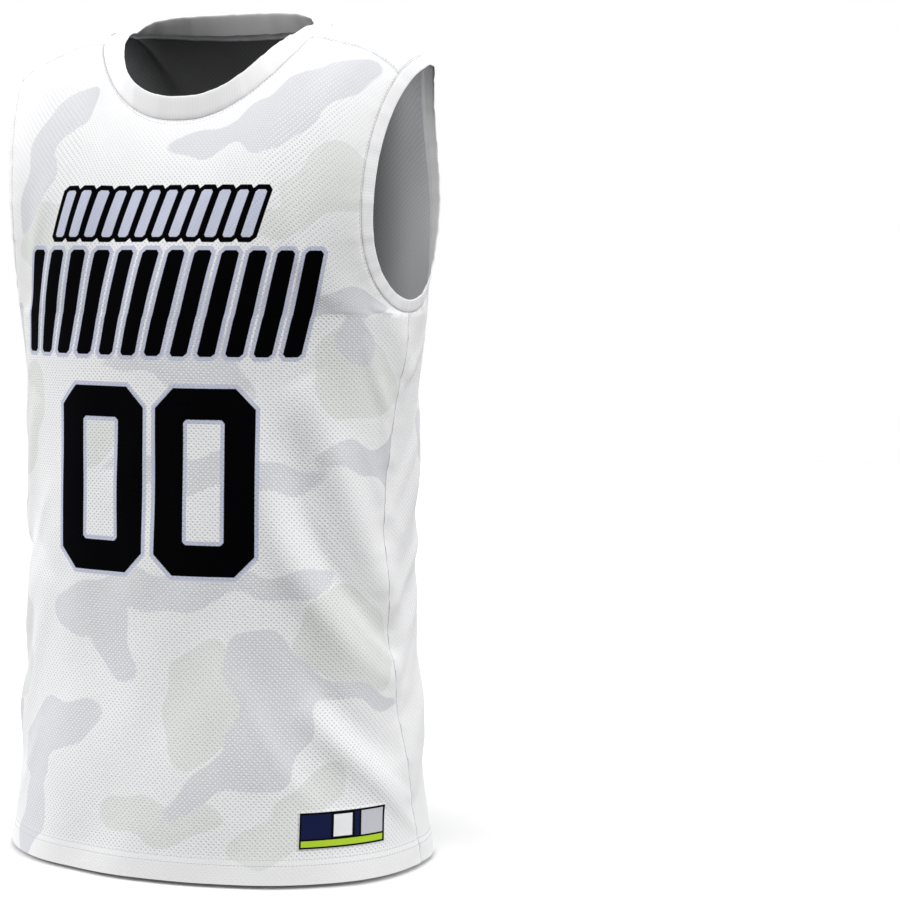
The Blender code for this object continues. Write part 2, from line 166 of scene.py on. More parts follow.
# Creases given one by one: those too fine for the solids, and the long folds of the wearer's left front.
# The bow is how far one bends off its line.
# side, across and z where it starts, across and z where it ends, bow, half width, height
CREASES = (
    (LEFT, 0.80, -0.290, 1.00, -0.372, 0.006, 0.006, 0.0022),
    (LEFT, 0.90, -0.330, 1.03, -0.420, 0.004, 0.005, 0.0018),
    (LEFT, 0.57, -0.330, 1.08, -0.580, -0.005, 0.020, 0.0076),
    (LEFT, 0.52, -0.370, 1.05, -0.604, 0.014, 0.016, -0.0034),
    (LEFT, 0.34, -0.348, 1.05, -0.642, 0.028, 0.020, 0.0062),
    (LEFT, 0.59, -0.588, 1.00, -0.698, 0.009, 0.014, -0.0028),
    (LEFT, 0.57, -0.630, 0.99, -0.738, 0.005, 0.015, 0.0052),
    (LEFT, 0.84, -0.386, 1.10, -0.490, 0.000, 0.007, 0.0015),
    (LEFT, 0.78, -0.534, 1.04, -0.606, 0.005, 0.007, 0.0017),
    (LEFT, 0.60, -0.420, 0.96, -0.560, 0.004, 0.009, 0.0012),
    (LEFT, 0.34, -0.600, 0.66, -0.745, 0.010, 0.010, 0.0014),
    (LEFT, 0.80, -0.700, 1.02, -0.765, 0.004, 0.007, 0.0018),
    (RIGHT, 0.78, -0.310, 1.00, -0.420, 0.006, 0.008, 0.0022),
    (RIGHT, 0.80, -0.470, 1.00, -0.585, 0.008, 0.008, 0.0022),
    (RIGHT, 0.60, -0.430, 0.88, -0.560, -0.008, 0.009, 0.0018),
    (RIGHT, 0.72, -0.590, 0.96, -0.690, 0.006, 0.008, 0.0022),
    (RIGHT, 0.58, -0.660, 0.74, -0.762, 0.004, 0.009, 0.0018),
    (LEFT, 1.34, -0.345, 1.00, -0.470, 0.008, 0.008, 0.0024),
    (LEFT, 1.44, -0.470, 0.98, -0.560, 0.010, 0.008, 0.0024),
    (LEFT, 1.30, -0.545, 0.98, -0.650, 0.008, 0.007, -0.0020),
    (LEFT, 1.42, -0.640, 0.98, -0.735, 0.008, 0.009, 0.0022),
    (LEFT, 1.18, -0.290, 1.00, -0.350, 0.004, 0.006, 0.0020),
    (RIGHT, 1.40, -0.350, 0.98, -0.455, 0.008, 0.007, 0.0024),
    (RIGHT, 1.30, -0.450, 0.98, -0.545, 0.006, 0.007, -0.0022),
    (RIGHT, 1.48, -0.520, 0.98, -0.640, 0.012, 0.009, 0.0026),
    (RIGHT, 1.34, -0.640, 0.98, -0.720, 0.006, 0.008, 0.0022),
    (RIGHT, 1.16, -0.300, 1.00, -0.365, 0.004, 0.006, 0.0020),
    (LEFT, 1.62, -0.120, 1.50, -0.262, 0.006, 0.014, 0.0018),
    (RIGHT, 1.60, -0.110, 1.44, -0.255, -0.006, 0.014, 0.0018),
    (LEFT, 0.62, -0.150, 0.74, -0.262, 0.006, 0.012, 0.0014),
    (RIGHT, 0.66, -0.140, 0.80, -0.250, -0.006, 0.012, 0.0014),
)

# Slow waves of relaxed cloth: how many go round the body, wavelength up, phase, height
DRIFTS = (
    (6, 0.260, 0.4, 0.0009),
    (9, 0.190, 2.1, 0.0006),
    (14, 0.120, 4.0, 0.0004),
)

# Puckers that the stitches draw into a seam: wavelength along it, phase, height
PUCKERS = (
    (0.011, 0.3, 0.00016),
    (0.017, 1.9, 0.00022),
    (0.029, 4.2, 0.00026),
)
PUCKER_REACH = 0.012
SEAM_DIP = 0.0009  # how deep a seam line lies
SEAM_DIP_WIDTH = 0.0022
SEAM_CRACK = 0.0003  # how far each face stops short of its seam
HEM_STEP = 0.0004  # how far the hem's second layer lifts the face

# Rows of stitches: how far from the seam or the hem's edge each lies
NECK_STITCHES = (0.0012, 0.0040)
SHOULDER_STITCHES = (0.0014,)
ARMHOLE_STITCHES = (0.0014,)
HEM_STITCHES = (0.0180, 0.0235)
STITCH_PITCH = 0.0034
STITCH_LENGTH = 0.0024
STITCH_RADIUS = 0.0003  # real thread is half as thick, and wouldn't show
STITCH_SIDES = 6
STITCH_BEVEL = 0.5  # of its radius
STITCH_EDGE = 75  # degrees
STITCH_SINK = 0.0001
EDGE_LINES = 24  # how many of a panel's lines from an edge hold its stitches

BAND_ROOT = 0.10  # the share of its width in which a band turns from the cloth's slope to its own
# Cross-section of a band: share of its width, then where its inner and outer faces are in its wall
BAND_PROFILE = (
    (0.00, 0.00, 0.50),
    (0.03, 0.00, 0.80),
    (0.10, 0.00, 0.98),
    (0.30, 0.00, 1.00),
    (0.55, 0.00, 1.00),
    (0.78, 0.02, 0.98),
    (0.90, 0.06, 0.92),
    (0.96, 0.16, 0.84),
    (0.99, 0.30, 0.70),
    (1.00, 0.45, 0.55),
)

# ---------------------------------------------------------------------------------------------------------
# Finishes

WHITE = "#F4F4F5"
CAMO_GREY = "#DADBDF"
CAMO_SAGE = "#E8EAE8"
# Eyelets: darker on the white and the sage, as painted shade of their holes, and paler than the grey
WHITE_EYELET_PAINTED_SHADE = "#D7D8DC"
SAGE_EYELET_PAINTED_SHADE = "#D3D6D5"
GREY_EYELET = "#F1F2F4"
# A thin line of painted shade along each seam, where its groove lies
PAINTED_SEAM_SHADE = "#D4D5D9"
BLACK = "#020203"
LAVENDER = "#C5CADC"
INNER = "#DCDDDF"
INNER_EYELET = "#CBCCCE"
ALLOWANCE_TONE = "#EDEDEF"
# White thread, greyed as painted shade of the wells the stitches sink into
THREAD_IN_PAINTED_SHADE = "#BDBEC3"
FLOOR = "#FCFCFC"
LABEL_EDGE = "#F1F2F4"
LABEL_BLACK = "#0B0B0D"
LABEL_NAVY = "#1B2145"
LABEL_GREY = "#C9CBD2"
LABEL_LIME = "#B7D83C"

CLOTH_SPECULAR = 0.01  # the gaps between yarns swallow most of the gloss
EYELET_PITCH = 0.0048  # real eyelets are about 3 mm apart, and would blur in the picture
EYELET_RADIUS = 0.0008
EYELET_SOFTNESS = 0.35  # the share of its radius that an eyelet's edge fades over, inwards and outwards
EYELET_DEPTH = 1.2  # in heights of a knit loop
INNER_EYELET_DEPTH = 0.4
HEM_OPENNESS = 0.15  # how much the eyelets still show where the hem's two layers lie
SEAM_OPENNESS = 0.2  # and at a seam, which pulls them shut
PULLED_KNIT = 0.060  # how far from a seam the pull reaches
HEM_SOFTNESS = 0.001
LOOP_SIZE = 0.0016  # knit loops are half as large, and wouldn't show
RIB_PITCH = 0.0030
# Painted shade and light: a band's ribs and a thread's plies are darker in their grooves and lighter on their
# ridges
RIB_PAINTED_SHADES = (0.96, 1.02)  # the least and most of its tone that a band has
PLY_PAINTED_SHADES = (0.90, 1.05)  # and a thread
PLY_RANGE = (0.3, 0.7)  # the values of its noise between which a thread's shade changes
LABEL_THREAD = 0.0005
WAVES_IN_A_UNIT = 3.18  # how many bands the wave texture has in a unit at scale 1
PAINTED_SEAM_WIDTH = 0.0009
PRINT_SOFTNESS = 0.0002
CAMO_SOFTNESS = 0.0006
# Painted shade: the inner face is coloured darker down its middle, where little light gets in, as it looks
# nearly black through the neck: the share of its tone left there, and the metres across between which the
# rest comes back
PAINTED_MIDDLE_SHADE = 0.19
PAINTED_SHADE_START = 0.09
PAINTED_SHADE_END = 0.18
# What is beside a seam on the inside, out to each distance: overlocked edge, allowance and seam line
ALLOWANCE_LINES = ((0.0078, INNER_EYELET), (0.0070, ALLOWANCE_TONE), (0.0012, INNER_EYELET))
ALLOWANCE_SOFTNESS = 0.0008

# Printed blocks: centre across and up, half width, half height, cut corner, spacing, count, slant, and how
# thick the stroke is round a hollow block
NUMBER = (-0.010, 0.370, 0.0490, 0.087, 0.019, 0.111, 2, 0.0, 0.029)
CHEST_BARS = (-0.008, 0.536, 0.0085, 0.050, 0.003, 0.0268, 12, 0.25, 0)
SMALL_BARS = (-0.008, 0.620, 0.0056, 0.022, 0.002, 0.0182, 12, 0.30, 0)
BACK_NUMBER = (0.0, 0.441, 0.069, 0.129, 0.030, 0.165, 2, 0.0, 0.039)
BACK_BARS = (0.0, 0.632, 0.0068, 0.025, 0.002, 0.0238, 12, 0.30, 0)
COUNTER_CORNER = 0.003  # cut off the hollow's corners
BLACK_ON_LAVENDER = ((0.0038, LAVENDER), (0.0, BLACK))
LAVENDER_ON_BLACK = ((0.0048, BLACK), (0.0, LAVENDER))
BACK_BLACK_ON_LAVENDER = ((0.008, LAVENDER), (0.0, BLACK))
FRONT_PRINTS = ((NUMBER, BLACK_ON_LAVENDER), (CHEST_BARS, BLACK_ON_LAVENDER), (SMALL_BARS, LAVENDER_ON_BLACK))
BACK_PRINTS = ((BACK_NUMBER, BACK_BLACK_ON_LAVENDER), (BACK_BARS, LAVENDER_ON_BLACK))

# Fields of the label, each over those before it: left, bottom, right, top and colour
LABEL_FIELDS = (
    (0.0004, 0.0004, 0.0846, 0.0336, LABEL_BLACK),
    (0.0022, 0.0095, 0.0300, 0.0316, LABEL_NAVY),
    (0.0325, 0.0105, 0.0505, 0.0306, LABEL_EDGE),
    (0.0530, 0.0095, 0.0575, 0.0316, LABEL_NAVY),
    (0.0595, 0.0095, 0.0824, 0.0316, LABEL_GREY),
    (0.0022, 0.0022, 0.0824, 0.0078, LABEL_LIME),
)

BLOTCH_FLOW = 0.005  # how softly blotches that meet flow together
BACK_CAMO_START = (0.02, 0.80)
BACK_CAMO_SQUEEZE = 0.92
# Waves of their uneven edges: height, radians a metre across and up, phase
EDGE_WAVES_ACROSS = ((0.005, 0, 62, 1.3), (0.003, 40, 128, 0))
EDGE_WAVES_UP = ((0.005, 58, 0, 0.4), (0.003, 116, -45, 2.0))
# Camouflage blotches: metres across and up, half length, half width, degrees turned
FRONT_GREY = (
    (-0.146, 0.723, 0.034, 0.025, 38),
    (-0.168, 0.667, 0.042, 0.019, 86),
    (0.044, 0.692, 0.053, 0.013, 7),
    (0.134, 0.726, 0.058, 0.028, 33),
    (0.190, 0.766, 0.057, 0.015, 38),
    (0.183, 0.549, 0.033, 0.022, -4),
    (0.191, 0.501, 0.022, 0.017, -58),
    (0.031, 0.511, 0.080, 0.033, 103),
    (0.001, 0.477, 0.066, 0.009, 1),
    (0.062, 0.458, 0.029, 0.017, -33),
    (0.123, 0.544, 0.036, 0.018, 5),
    (0.047, 0.380, 0.108, 0.017, -1),
    (0.201, 0.394, 0.045, 0.012, -7),
    (0.245, 0.394, 0.033, 0.026, 67),
    (-0.007, 0.268, 0.102, 0.018, 6),
    (-0.046, 0.214, 0.041, 0.020, 120),
    (-0.094, 0.247, 0.033, 0.022, 19),
    (0.135, 0.281, 0.037, 0.012, 11),
    (0.112, 0.197, 0.044, 0.037, -34),
    (0.111, 0.139, 0.055, 0.037, 79),
    (0.055, 0.088, 0.047, 0.015, 26),
    (0.191, 0.173, 0.046, 0.009, -12),
    (-0.110, 0.135, 0.048, 0.024, 20),
    (-0.148, 0.104, 0.033, 0.028, 56),
    (-0.154, 0.033, 0.039, 0.022, 81),
    (-0.235, 0.330, 0.062, 0.028, 85),
    (-0.230, 0.505, 0.052, 0.031, 60),
    (-0.240, 0.110, 0.052, 0.026, 40),
)
FRONT_SAGE = (
    (0.178, 0.680, 0.055, 0.017, 27),
    (0.148, 0.639, 0.064, 0.013, 30),
    (-0.136, 0.609, 0.030, 0.044, 67),
    (0.186, 0.470, 0.044, 0.041, -52),
    (0.185, 0.225, 0.059, 0.040, -39),
    (0.048, 0.165, 0.057, 0.042, 84),
    (0.157, 0.085, 0.038, 0.017, 22),
    (0.119, 0.044, 0.047, 0.020, 31),
    (-0.071, 0.420, 0.035, 0.031, 55),
    (0.001, 0.055, 0.065, 0.020, 2),
    (-0.195, 0.425, 0.057, 0.040, 62),
    (-0.205, 0.205, 0.057, 0.040, 98),
)

# ---------------------------------------------------------------------------------------------------------
# The studio

FLOOR_SIZE = 8
FLOOR_GAP = 0.004  # the jersey hangs from its shoulders, just off the floor
FLOOR_GLOW = 0.04  # keeps the floor as pale as the backdrop in the soft shadows
# Soft suns, with left and right as the camera sees them: name, where it shines from towards the origin,
# power in watts a square metre, and its angle in radians
SUNS = (
    ("overhead", (0.0, -0.8, 1.0), 1.9, 1.2),
    ("left side", (-1.0, -0.35, 0.4), 2.65, 0.8),
    ("behind", (0.12, 1.0, 0.42), 2.0, 0.9),
    ("right side", (1.0, -0.15, 0.4), 2.25, 0.8),
)
CAMERA_PLACE = (1.0442, -2.0493, -0.195)
CAMERA_DIRECTION = (-0.3641, 0.9268, -0.0924)
CAMERA_LENS = 94
CAMERA_SENSOR = 36


def unit(vectors):
    """Vectors made one long."""
    return vectors / np.linalg.norm(vectors, axis=-1, keepdims=True)


def run_along(points, axis=0):
    """How far each point is along its line of points. The lines run along an axis of the array."""
    lengths = np.cumsum(np.linalg.norm(np.diff(points, axis=axis), axis=-1), axis=axis)
    return np.insert(lengths, 0, 0, axis=axis)


def read_off(values, run, places):
    """Columns of values, which are known at the lengths in run, read off at other places."""
    return np.stack([np.interp(places, run, column) for column in values.T], axis=1)


def section_value(column, z):
    """One column of SECTIONS at heights z, on a smooth curve through its rows."""
    heights = np.array([row[Z] for row in SECTIONS])
    values = np.array([row[column] for row in SECTIONS])
    slopes = np.gradient(values, heights)
    z = np.minimum(z, heights[-1])
    k = np.clip(np.searchsorted(heights, z) - 1, 0, len(heights) - 2)
    span = heights[k + 1] - heights[k]
    t = (z - heights[k]) / span
    start, end = values[k], values[k + 1]
    lead, trail = slopes[k] * span, slopes[k + 1] * span
    bend = 2 * (start - end) + lead + trail
    return ((bend * t - (bend + lead + start - end)) * t + lead) * t + start


def half_section(z):
    """Points of the section at z from the centre front round the +X side to the centre back."""
    turn = np.linspace(0, math.pi, SECTION_STEPS)
    power = 2 / section_value(SQUARENESS, z)
    x = section_value(HALF_WIDTH, z) * np.abs(np.sin(turn)) ** power
    reach = np.abs(np.cos(turn)) ** power
    depth = np.where(turn < math.pi / 2, -section_value(FRONT_DEPTH, z), section_value(BACK_DEPTH, z))
    return x, depth * reach


def section_rows(z, shares, back):
    """Points at the given shares (-1 to 1) of the way from a panel's centre line to its side seams."""
    x, y = half_section(z)
    length = run_along(np.stack([x, y], axis=1))
    seam = np.interp(section_value(SEAM_Y, z), y, length)
    if back:
        along = length[-1] - np.abs(shares) * (length[-1] - seam)
    else:
        along = np.abs(shares) * seam
    x = np.interp(along, length, x) * np.where(shares < 0, -1, 1)
    y = np.interp(along, length, y)
    return np.stack([x, y, np.full(len(along), z)], axis=1)


def ridge_z(x):
    """Heights of the shoulder ridge."""
    return RIDGE_RISE - (RIDGE_RISE + TIP_DROP) * (np.abs(x) / TIP_X) ** RIDGE_POWER


def yoke_level(points):
    """How far out points above the underarm are: 1 on the form, less inside it."""
    x, y, z = points[..., 0], points[..., 1], points[..., 2]
    across = np.abs(x) / section_value(HALF_WIDTH, z)
    squareness = section_value(SQUARENESS, z)
    back = y > 0
    depth = np.where(back, section_value(BACK_DEPTH, UNDERARM_Z), section_value(FRONT_DEPTH, UNDERARM_Z))
    narrowing = np.maximum(1 - np.minimum(across, 1) ** squareness, 1e-12) ** (1 / squareness)
    dip = FRONT_DIP * np.maximum(1 - (x / NECK_HALF_WIDTH) ** 2, 0)
    top = ridge_z(x) - np.where(back, 0, dip)
    front_power = FRONT_POWER + (ARMHOLE_POWER - FRONT_POWER) * (x / TIP_X) ** 2
    power = np.where(back, BACK_POWER, front_power)
    reach = np.abs(y) / (depth * narrowing)
    rise = np.maximum(z - UNDERARM_Z, 0) / (top - UNDERARM_Z)
    level = (reach**power + rise**power) ** (1 / power)
    return np.where(across < 1, level, math.inf)


def yoke_normals(points):
    """The form's normals at its points, from how much a small step inwards lowers the level."""
    outward = np.where(points < 0, -1, 1)
    outward[..., 2] = 1
    level = yoke_level(points)
    slopes = [level - yoke_level(points - step * outward) for step in np.eye(3) * NORMAL_STEP]
    slopes = np.stack(slopes, axis=-1)
    slopes[..., 1] *= np.abs(points[..., 1]) > NORMAL_STEP
    return unit(outward * np.where(np.isfinite(slopes), slopes, 0))


def bisect(inside, low, high):
    """The values between low and high where inside turns from true to false."""
    for _ in range(SOLVER_STEPS):
        middle = (low + high) / 2
        held = inside(middle)
        low = np.where(held, middle, low)
        high = np.where(held, high, middle)
    return low


def yoke_z(x, y):
    """Heights of the form above the plan points x, y."""
    x, y = np.broadcast_arrays(np.asarray(x, float), y)
    low = np.full(x.shape, UNDERARM_Z)
    return bisect(lambda z: yoke_level(np.stack([x, y, z], axis=-1)) < 1, low, np.full(x.shape, RIDGE_RISE))


def on_yoke(points):
    """The points of the form on the lines from the middle of the chest through these."""
    middle = np.array([0, 0, UNDERARM_Z])
    arms = points - middle
    low = np.full(points.shape[:-1], SEARCH_START)
    high = np.full(points.shape[:-1], SEARCH_END)
    scale = bisect(lambda s: yoke_level(middle + arms * s[..., None]) < 1, low, high)
    return middle + arms * scale[..., None]


def neck_points(turns):
    """Points of the neck seam. Turn is 0 at the centre front and pi at the centre back."""
    ahead = np.cos(turns) > 0
    power = np.where(ahead, 2 / NECK_SQUARENESS, 1)
    x = NECK_HALF_WIDTH * np.abs(np.sin(turns)) ** power
    y = np.where(ahead, -NECK_FRONT, NECK_BACK) * np.abs(np.cos(turns)) ** power
    return np.stack([x, y, yoke_z(x, y)], axis=-1)


def armhole_side_view(turns):
    """Y and z of the armhole seam. Turn is 0 on the shoulder ridge, positive down the front."""
    middle = (ARMHOLE_TOP_Z + UNDERARM_Z) / 2
    reach = np.where(turns > 0, ARMHOLE_FRONT, ARMHOLE_BACK)
    y = section_value(SEAM_Y, UNDERARM_Z) * (1 - np.cos(turns)) / 2 - reach * np.sin(turns)
    return y, middle + (ARMHOLE_TOP_Z - middle) * np.cos(turns)


def armhole_points(turns):
    """Points of the armhole seam at +X."""
    turns = np.asarray(turns, float)
    y, z = armhole_side_view(turns)
    low = np.full(turns.shape, NECK_HALF_WIDTH)
    high = np.full(turns.shape, TIP_X * SEARCH_END)
    x = bisect(lambda x: yoke_level(np.stack([x, y, z], axis=-1)) < 1, low, high)
    return np.stack([x, y, z], axis=-1)


def panel_shares():
    """Shares of the columns, with one exactly at each neck point."""
    neck = 1 - 2 * SHOULDER_COLUMNS / COLUMNS
    shoulder = np.linspace(-1, -neck, SHOULDER_COLUMNS + 1)
    front = np.linspace(-neck, neck, COLUMNS - 2 * SHOULDER_COLUMNS + 1)
    return np.concatenate([shoulder, front[1:-1], -shoulder[::-1]])


def tip_turn():
    """The turn of the armhole seam at which it meets the shoulder seam."""
    turns = np.linspace(0, math.pi / 2, SECTION_STEPS)
    return float(np.interp(SHOULDER_SEAM_FORWARD, -armhole_side_view(turns)[0], turns))


def top_edge(back):
    """A panel's top edge, right to left: shoulder seam, neck seam, shoulder seam."""
    neck_turn = math.acos((SHOULDER_SEAM_FORWARD / NECK_FRONT) ** (NECK_SQUARENESS / 2))
    tip_x = armhole_points(tip_turn())[0]
    inner_x = neck_points(np.array(neck_turn))[0]
    x = np.linspace(tip_x, inner_x, SHOULDER_COLUMNS + 1)
    y = np.full(x.shape, -SHOULDER_SEAM_FORWARD)
    shoulder = np.stack([x, y, yoke_z(x, y)], axis=-1)
    steps = COLUMNS // 2 - SHOULDER_COLUMNS
    neck = neck_points(np.linspace(neck_turn, math.pi if back else 0.0, steps + 1)[1:])
    half = np.concatenate([shoulder, neck])
    return np.concatenate([half * MIRROR, half[-2::-1]])


def yoke_grid(back):
    """The rows above the underarm: a patch blended from its four edges and laid on the form."""
    rows = BACK_YOKE_ROWS if back else FRONT_YOKE_ROWS
    top = top_edge(back)
    bottom = section_rows(UNDERARM_Z, panel_shares(), back)
    left = armhole_points(np.linspace(-math.pi if back else math.pi, tip_turn(), rows + 1))
    left[0] = bottom[-1]
    left[-1] = top[-1]
    right = left * MIRROR
    u = ((panel_shares() + 1) / 2)[None, :, None]
    v = np.linspace(0, 1, rows + 1)[:, None, None]
    flat = (1 - v) * bottom + v * top + (1 - u) * right[:, None] + u * left[:, None]
    low = (1 - u) * bottom[0] + u * bottom[-1]
    high = (1 - u) * top[0] + u * top[-1]
    grid = flat - (1 - v) * low - v * high
    grid[1:-1, 1:-1] = on_yoke(grid[1:-1, 1:-1])
    return grid[1:]


def ridge_height(rows, across, z):
    """The height that soft ridges and troughs add at points of the cloth."""
    total = np.zeros_like(z)
    for side, start_across, start_z, end_across, end_z, bow, half_width, height in rows:
        run = np.array([(end_across - start_across) * ACROSS_METRES, end_z - start_z])
        length = np.hypot(*run)
        off_x = (across * side - start_across) * ACROSS_METRES
        off_z = z - start_z
        along = np.clip((off_x * run[0] + off_z * run[1]) / length**2, 0, 1)
        apart = (off_x * run[1] - off_z * run[0]) / length - bow * np.sin(along * math.pi)
        total += height * np.sin(along * math.pi) ** FOLD_FADE * np.exp(-((apart / half_width) ** 2))
    return total


def wear_height(across, z):
    """Folds, creases and the slow waves between them."""
    folds = [row[:5] + (0,) + row[5:] for row in FOLDS]
    total = ridge_height(folds, across, z) + ridge_height(CREASES, across, z)
    for waves, wave_up, phase, height in DRIFTS:
        shift = np.cos(z / wave_up * 2 * math.pi + phase)
        total += height * np.sin(across * waves * math.pi / 2 + phase + shift)
    return total


def settled(normals, times, closed=False):
    """Normals shared with their neighbours, so that a kink in the form doesn't show in the cloth."""
    for _ in range(times):
        for axis in range(normals.ndim - 1):
            lines = normals.swapaxes(0, axis)
            before, after = (lines[-1:], lines[:1]) if closed else (lines[:1], lines[-1:])
            lines = np.concatenate([before, lines, after])
            normals = unit(lines[:-2] + lines[2:] + 2 * lines[1:-1]).swapaxes(0, axis)
    return normals


def form_normals(grid):
    """Unit normals of the form at a panel's points, pointing out of the jersey."""
    normals = unit(np.cross(np.gradient(grid, axis=1), np.gradient(grid, axis=0)))
    normals[BODY_ROWS + 1 :] = yoke_normals(grid[BODY_ROWS + 1 :])
    return settled(normals, PANEL_SETTLING)


def print_map(grid, back):
    """Metres across a panel from its centre line, measured on a level line, and metres up the centre line."""
    centre = grid[:, COLUMNS // 2]
    up = run_along(centre)
    across = []
    for row in grid:
        x, y = half_section(min(row[0, 2], UNDERARM_Z))
        if back:
            x, y = x[::-1], y[::-1]
        along = run_along(np.stack([x, y], axis=1))
        widest = x.argmax() + 1
        across.append(np.interp(np.abs(row[:, 0]), x[:widest], along[:widest]) * np.sign(row[:, 0]))
    across = np.array(across) * (-1 if back else 1)
    return np.stack([across, np.interp(grid[:, :, 2], centre[:, 2], up)], axis=2)


def panel_grid(back):
    """A panel's inner points, hem to neck, with its folds, the normals out of it and its print's map."""
    shares = panel_shares()
    heights = np.linspace(HEM_Z, UNDERARM_Z, BODY_ROWS + 1)
    body = np.array([section_rows(z, shares, back) for z in heights])
    grid = np.concatenate([body, yoke_grid(back)])
    across = np.broadcast_to(np.where(shares < 0, -2, 2) - shares if back else shares, grid.shape[:2])
    if back:
        grid, across = grid[:, ::-1], across[:, ::-1]
    normals = form_normals(grid)
    prints = print_map(grid, back)
    grid[:, :, 1] += RIDGE_BACK * (np.maximum(grid[:, :, 2] - UNDERARM_Z, 0) / UNDERARM_Z) ** 2
    return grid + normals * wear_height(across, grid[:, :, 2])[:, :, None], normals, prints


def join_seams(front, back, front_out, back_out):
    """Gives both sides of each seam the same points and the same normals, so that the cloth meets there."""
    joined = BODY_ROWS + 1
    last = SHOULDER_COLUMNS + 1
    for here, there in ((0, -1), (-1, 0)):
        both = unit(front_out[:joined, here] + back_out[:joined, there])
        front_out[:joined, here] = both
        back_out[:joined, there] = both
        back[:joined, there] = front[:joined, here]
    for here, there in ((slice(0, last), slice(-last, None)), (slice(-last, None), slice(0, last))):
        both = unit(front_out[-1, here] + back_out[-1, there][::-1])
        front_out[-1, here] = both
        back_out[-1, there] = both[::-1]
        back[-1, there] = front[-1, here][::-1]


def from_line(points, line):
    """How far each point is from a line of points, and how far along the line its nearest point is."""
    run = run_along(line)
    apart, along = [], []
    for row in points:
        distance = np.linalg.norm(row[:, None] - line[None], axis=2)
        nearest = distance.argmin(axis=1)
        apart.append(distance[np.arange(len(row)), nearest])
        along.append(run[nearest])
    return np.array(apart), np.array(along)


def seam_lines(front, back):
    """The jersey's seams, as lines of points: sides, shoulders, armholes and neck."""
    last = SHOULDER_COLUMNS + 1
    ahead, behind = front[BODY_ROWS:], back[BODY_ROWS:]
    neck = slice(SHOULDER_COLUMNS, COLUMNS - SHOULDER_COLUMNS + 1)
    return [
        front[: BODY_ROWS + 1, 0],
        front[: BODY_ROWS + 1, -1],
        front[-1, :last],
        front[-1, -last:],
        np.concatenate([ahead[:, 0], behind[::-1, -1]]),
        np.concatenate([ahead[:, -1], behind[::-1, 0]]),
        np.concatenate([front[-1, neck], back[-1, neck]]),
    ]


def draw_in(grid, normals, seams):
    """Draws the cloth in along its seams, with the puckers beside them."""
    total = np.zeros(grid.shape[:2])
    for seam in seams:
        apart, along = from_line(grid, seam)
        fade = np.exp(-apart / PUCKER_REACH)
        total -= SEAM_DIP * np.exp(-((apart / SEAM_DIP_WIDTH) ** 2))
        for wavelength, phase, height in PUCKERS:
            total += height * fade * np.sin(along / wavelength * 2 * math.pi + phase)
    return grid + normals * total[:, :, None]


def pattern_of(grid):
    """Metres of flat cloth across from the centre line and up from the hem, at each point of a panel."""
    across = run_along(grid, axis=1)
    across -= across[:, COLUMNS // 2 : COLUMNS // 2 + 1]
    return np.stack([across, run_along(grid)], axis=2)


def in_scene(name, data):
    """An object of some data, linked into the scene."""
    obj = bpy.data.objects.new(name, data)
    bpy.context.scene.collection.objects.link(obj)
    return obj


def cloth_wall(name, inner, outer, maps, finishes, ring=False):
    """A closed wall of cloth between two grids of points, with its UV maps, in metres, and its finishes.

    The second finish, where there is one, is the inner face's. A ring joins its last row to its first, and
    its maps have one more row than its points.
    """
    rows, columns = inner.shape[:2]
    place = np.arange((rows + ring) * columns).reshape(rows + ring, columns)
    face = np.stack([place[:-1, :-1], place[:-1, 1:], place[1:, 1:], place[1:, :-1]], axis=2).reshape(-1, 4)
    sheet = len(place.ravel())
    edges = [place[:, 0], place[:, -1]]
    if not ring:
        edges += [place[0], place[-1]]
    rims = [np.stack([edge[:-1], edge[1:], edge[1:] + sheet, edge[:-1] + sheet], axis=1) for edge in edges]
    quads = np.concatenate([face, face + sheet] + rims)
    vertex = place % (rows * columns)
    vertex = np.concatenate([vertex.ravel(), vertex.ravel() + rows * columns])
    mesh = bpy.data.meshes.new(name)
    mesh.from_pydata(np.concatenate([inner.reshape(-1, 3), outer.reshape(-1, 3)]), [], vertex[quads])
    for map_name, flat in maps.items():
        flat = np.concatenate([flat.reshape(-1, 2)] * 2)
        mesh.uv_layers.new(name=map_name).data.foreach_set("uv", flat[quads.ravel()].ravel())
    for finish in finishes:
        mesh.materials.append(finish)
    second = (np.arange(len(quads)) < len(face)) * (len(finishes) - 1)
    mesh.polygons.foreach_set("material_index", second.astype(np.int32))
    bm = bmesh.new()
    bm.from_mesh(mesh)
    bmesh.ops.recalc_face_normals(bm, faces=bm.faces)
    bm.to_mesh(mesh)
    bm.free()
    mesh.shade_smooth()
    mesh.set_sharp_from_angle(angle=math.radians(SHARP_EDGE))
    return in_scene(name, mesh)


def towards(points, targets, distance):
    """The points moved by a distance towards their targets."""
    return points + unit(targets - points) * distance


def face_of(grid, normals):
    """A panel's outer face: a soft step above the hem, and a crack where it stops short of its seams."""
    step = np.clip((HEM_Z + HEM_DEPTH - grid[:, :, 2:]) / SEAM_DIP_WIDTH, 0, 1) * HEM_STEP
    face = grid + normals * (CLOTH_WALL + step)
    face[:, 0] = towards(face[:, 0], face[:, 1], SEAM_CRACK)
    face[:, -1] = towards(face[:, -1], face[:, -2], SEAM_CRACK)
    face[-1] = towards(face[-1], face[-2], SEAM_CRACK)
    return face


def panel_wall(name, grid, normals, prints, finishes):
    """A panel's wall, with the turned-up hem's second layer on its inside."""
    in_hem = grid[:, :, 2:] < HEM_Z + HEM_DEPTH
    inner = np.where(in_hem, grid - normals * HEM_TURN_UP, grid)
    maps = {"pattern": pattern_of(grid), "print": prints}
    return cloth_wall(name, inner, face_of(grid, normals), maps, finishes)


